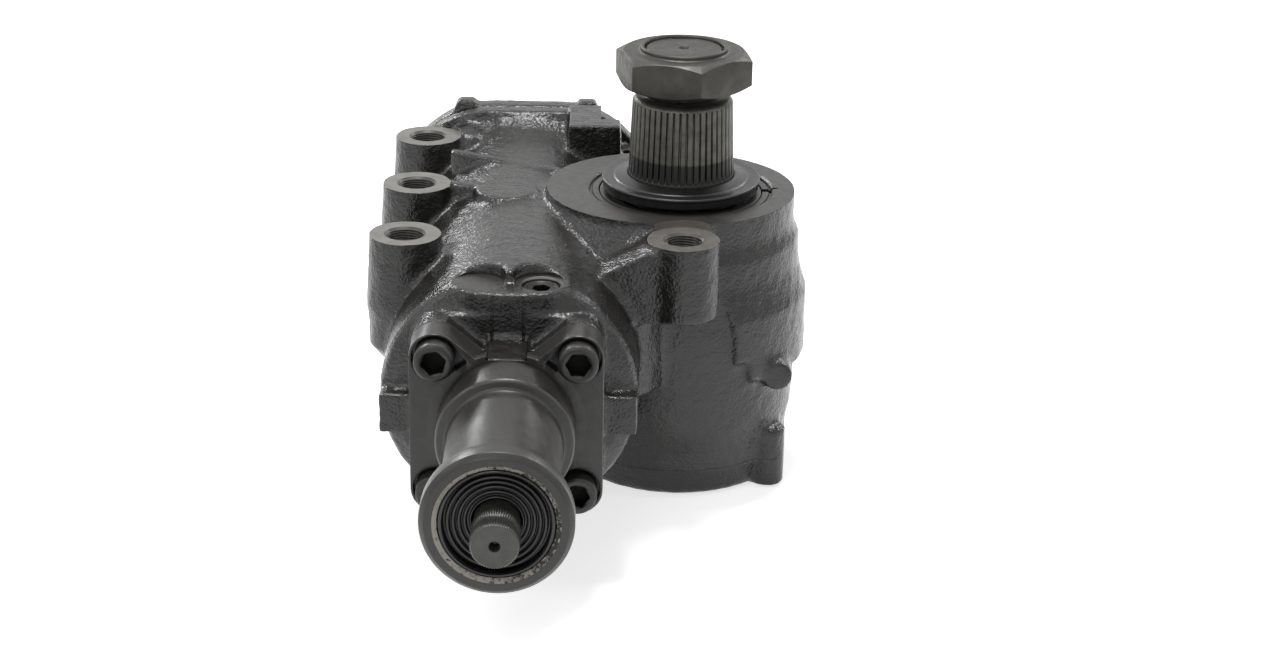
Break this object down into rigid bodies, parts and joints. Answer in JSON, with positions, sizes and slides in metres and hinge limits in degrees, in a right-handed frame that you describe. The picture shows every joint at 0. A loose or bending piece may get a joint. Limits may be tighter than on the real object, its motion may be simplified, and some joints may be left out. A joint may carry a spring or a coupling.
{
  "type": "power steering gear",
  "caption": "Integral hydraulic power steering gear: worm input, rack piston in a cast housing and a tapered splined output shaft with nut.",
  "frame": {"origin": "where the axis of the output (sector) shaft meets the mounting plane, the plane of the machined boss faces", "axes": "+Z out along the output shaft, square to the mounting plane; -Y towards the input shaft, along the piston axis; +X from the piston barrel towards the output drum"},
  "size_m": [0.2513, 0.483, 0.2536],
  "materials": {
    "cast_paint": "semi-gloss black paint over rough sand-cast iron",
    "cover_paint": "satin black paint over smooth casting, worn bare at the collar mouth",
    "machined_iron": "fine turned iron",
    "oiled_steel": "dark oiled steel",
    "phosphated_steel": "phosphated steel, slightly worn edges",
    "dark_steel": "black oxide steel",
    "bright_steel": "ground bearing steel",
    "black_rubber": "moulded black rubber",
    "seal_plastic": "filled sealing plastic"
  },
  "bodies": {
    "gearbox": {"housing": "cast_paint", "front_cover": "cover_paint", "rear_cover": "cast_paint", "side_cover": "cast_paint", "adjusting_screw": "dark_steel", "adjuster_lock_nut": "dark_steel", "seal_carrier": "machined_iron", "sector_seal": "black_rubber", "retaining_ring": "dark_steel", "sector_bearing_upper": "bright_steel", "sector_bearing_lower": "bright_steel", "worm_bearing_front": "bright_steel", "worm_bearing_rear": "bright_steel", "input_bearing": "bright_steel", "input_oil_seal": "black_rubber", "input_dust_seal": "black_rubber", "port_plug": "dark_steel", "front_cover_seal": "black_rubber", "rear_cover_seal": "black_rubber", "side_cover_seal": "black_rubber", "front_cover_screws": "dark_steel", "rear_cover_screws": "dark_steel", "side_cover_screws": "dark_steel"},
    "output": {"sector_shaft": "oiled_steel", "pitman_nut": "phosphated_steel", "shaft_dust_cap": "black_rubber", "adjuster_retainer": "dark_steel"},
    "piston": {"rack_piston": "machined_iron", "piston_ring": "seal_plastic", "recirculating_balls": "bright_steel", "piston_end_plug": "dark_steel"},
    "input": {"input_shaft": "oiled_steel", "torsion_bar": "bright_steel", "torsion_bar_pins": "bright_steel", "worm_shaft": "bright_steel", "valve_seal_rings": "seal_plastic"}
  },
  "joints": [
    {"name": "output_turn", "type": "hinge", "parent": "gearbox", "child": "output", "pos_m": [0, 0, 0], "axis": [0, 0, 1], "range_deg": [-45, 45]},
    {"name": "piston_slide", "type": "slide", "parent": "gearbox", "child": "piston", "axis": [0, 1, 0], "range_m": [-0.04104, 0.04104]},
    {"name": "input_turn", "type": "hinge", "parent": "gearbox", "child": "input", "pos_m": [-0.094, 0, -0.07], "axis": [0, 1, 0], "range_deg": [-865.9, 865.9]}
  ],
  "couplings": [
    {"joint": "piston_slide", "follows": "output_turn", "m_per_rad": -0.052},
    {"joint": "input_turn", "follows": "output_turn", "ratio": 19.219}
  ]
}
